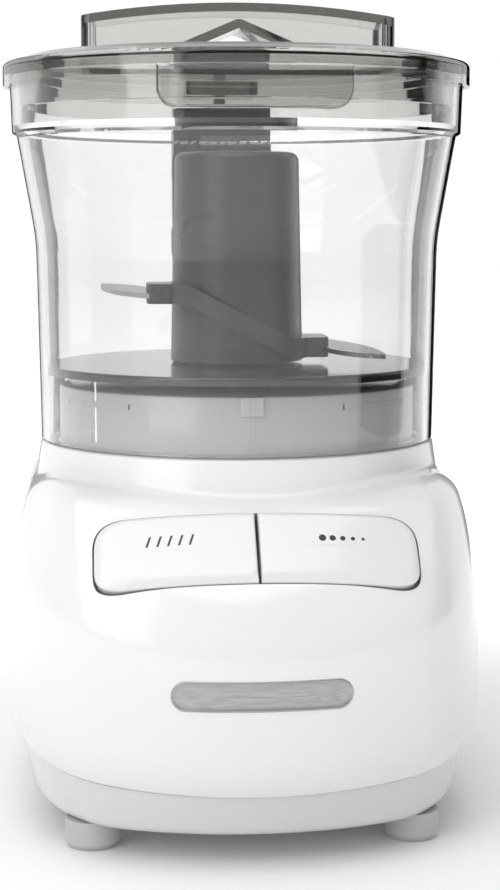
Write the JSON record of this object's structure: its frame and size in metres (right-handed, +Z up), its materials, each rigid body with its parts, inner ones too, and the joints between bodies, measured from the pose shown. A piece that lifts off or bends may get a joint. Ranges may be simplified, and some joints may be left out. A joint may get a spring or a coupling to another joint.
{
  "type": "food processor",
  "caption": "Small food processor: a clear lidded bowl with a twin-blade hub stands on a geared motor base with two sloping paddle switches.",
  "frame": {"origin": "on the table plane, under the axis of the bowl and spindle", "axes": "+Z up along the spindle; the paddles face -Y and the bowl's handle is at +Y; +X is to the right seen from the front"},
  "size_m": [0.1292, 0.17, 0.22],
  "materials": {
    "housing_plastic": "glossy white ABS",
    "tray_plastic": "glossy white ABS",
    "paddle_plastic": "satin off-white ABS",
    "clear_bowl": "clear moulded copolyester with a faint grey tint",
    "clear_lid": "clear moulded copolyester with a faint grey tint",
    "dark_grey_plastic": "satin dark grey",
    "floor_plastic": "glossy dark grey",
    "carrier_plastic": "satin dark grey",
    "blade_steel": "ground stainless",
    "turned_steel": "turned",
    "spring_steel": "drawn wire",
    "zinc_screw": "zinc plated",
    "can_steel": "zinc plated sheet",
    "magnet_ferrite": "sintered ferrite",
    "core_steel": "lacquered laminations",
    "copper_winding": "enamelled copper",
    "copper_bars": "turned copper",
    "carbon": "pressed carbon",
    "bronze": "sintered bronze",
    "acetal": "natural acetal",
    "black_plastic": "moulded",
    "plate_plastic": "glass-filled nylon",
    "board_green": "solder mask",
    "seal_rubber": "moulded",
    "foot_rubber": "matt light grey"
  },
  "bodies": {
    "base": {"upper_housing": "housing_plastic", "base_tray": "tray_plastic", "cord_gland": "black_plastic", "tray_screws": "zinc_screw", "gearbox_plate": "plate_plastic", "gearbox_screws": "zinc_screw", "spindle_bush_upper": "bronze", "spindle_bush_lower": "bronze", "spindle_seal": "seal_rubber", "motor_can": "can_steel", "motor_end_cap": "black_plastic", "motor_magnets": "magnet_ferrite", "motor_bearings": "bronze", "motor_screws": "zinc_screw", "carbon_brushes": "carbon", "circuit_board": "board_green", "board_components": "black_plastic", "tact_switches": "black_plastic", "board_screws": "zinc_screw", "interlock_switch": "black_plastic", "interlock_spring": "spring_steel", "foot_front_left": "foot_rubber", "foot_front_right": "foot_rubber", "foot_rear_left": "foot_rubber", "foot_rear_right": "foot_rubber"},
    "rotor": {"motor_shaft": "turned_steel", "armature_core": "core_steel", "armature_windings": "copper_winding", "commutator": "copper_bars", "cooling_fan": "acetal", "pinion": "turned_steel"},
    "spindle": {"drive_spindle": "turned_steel", "drive_gear": "acetal", "retaining_clips": "spring_steel"},
    "chop_button": {"chop_paddle": "paddle_plastic"},
    "grind_button": {"grind_paddle": "paddle_plastic"},
    "plunger": {"interlock_plunger": "acetal"},
    "bowl": {"work_bowl": "clear_bowl", "bowl_floor": "floor_plastic", "bowl_handle": "dark_grey_plastic", "handle_cover": "dark_grey_plastic", "interlock_rod_spring": "spring_steel"},
    "lid_rod": {"interlock_rod": "acetal"},
    "blade": {"blade_hub": "dark_grey_plastic", "hub_drive_insert": "acetal", "blade_carrier": "carrier_plastic", "upper_blade": "blade_steel", "lower_blade": "blade_steel"},
    "cover": {"lid": "clear_lid"}
  },
  "joints": [
    {"name": "bowl_lift", "type": "slide", "parent": "base", "child": "bowl", "axis": [0, 0, 1], "range_m": [0, 0.12]},
    {"name": "lid_lift", "type": "slide", "parent": "bowl", "child": "cover", "axis": [0, 0, 1], "range_m": [0, 0.09]},
    {"name": "spindle_spin", "type": "hinge", "parent": "base", "child": "spindle", "pos_m": [0, 0, 0.07], "axis": [0, 0, 1], "continuous": true},
    {"name": "motor_spin", "type": "hinge", "parent": "base", "child": "rotor", "pos_m": [0, 0.028, 0.05], "axis": [0, 0, 1], "continuous": true},
    {"name": "blade_spin", "type": "hinge", "parent": "bowl", "child": "blade", "pos_m": [0, 0, 0.13], "axis": [0, 0, 1], "continuous": true},
    {"name": "chop_press", "type": "hinge", "parent": "base", "child": "chop_button", "pos_m": [0, -0.0584, 0.08052], "axis": [1, 0, 0], "range_deg": [0, 3.5], "stiffness_Nm_per_rad": 0.3},
    {"name": "grind_press", "type": "hinge", "parent": "base", "child": "grind_button", "pos_m": [0, -0.0584, 0.08052], "axis": [1, 0, 0], "range_deg": [0, 3.5], "stiffness_Nm_per_rad": 0.3},
    {"name": "plunger_slide", "type": "slide", "parent": "base", "child": "plunger", "axis": [0, 0, 1], "range_m": [0, 0.002], "deforming": ["interlock_spring"]},
    {"name": "rod_slide", "type": "slide", "parent": "bowl", "child": "lid_rod", "axis": [0, 0, 1], "range_m": [0, 0.003], "deforming": ["interlock_rod_spring"]}
  ],
  "couplings": [
    {"joint": "blade_spin", "follows": "motor_spin", "ratio": -0.25},
    {"joint": "spindle_spin", "follows": "motor_spin", "ratio": -0.25},
    {"joint": "plunger_slide", "follows": "bowl_lift", "ratio": 0.016667},
    {"joint": "rod_slide", "follows": "lid_lift", "ratio": 0.033333}
  ]
}
